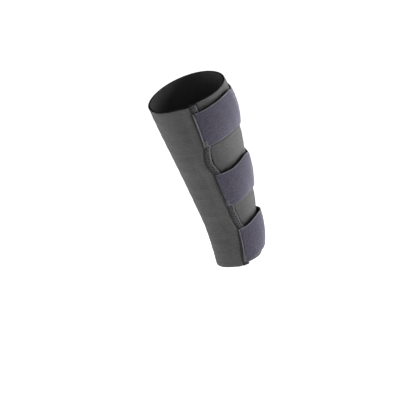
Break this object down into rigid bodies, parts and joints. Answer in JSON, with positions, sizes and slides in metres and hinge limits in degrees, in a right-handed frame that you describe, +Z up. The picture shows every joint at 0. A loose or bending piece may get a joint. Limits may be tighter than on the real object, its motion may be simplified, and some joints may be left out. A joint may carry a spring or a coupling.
{
  "type": "wrap-around calf support",
  "caption": "Wrap-around neoprene calf support in its worn form, with a bound flap edge, wide loop straps round the calf and an open hollow for the leg.",
  "frame": {"origin": "on the leg's axis at the height of the bottom rim at the shin", "axes": "+Z up the leg, the shin faces -Y, the calf faces +Y, the outer side of the left leg is +X"},
  "size_m": [0.1145, 0.1163, 0.2615],
  "materials": {
    "neoprene_cloth": "matte knit face on foam rubber",
    "binding_tape": "dull woven tape",
    "strap_loop": "brushed loop face",
    "hook_patch": "moulded hook face"
  },
  "bodies": {
    "root": {"neoprene_wrap": "neoprene_cloth", "edge_binding": "binding_tape", "bottom_strap": "strap_loop", "middle_strap": "strap_loop", "top_strap": "strap_loop", "bottom_hook_tab": "hook_patch", "middle_hook_tab": "hook_patch", "top_hook_tab": "hook_patch"}
  },
  "joints": []
}
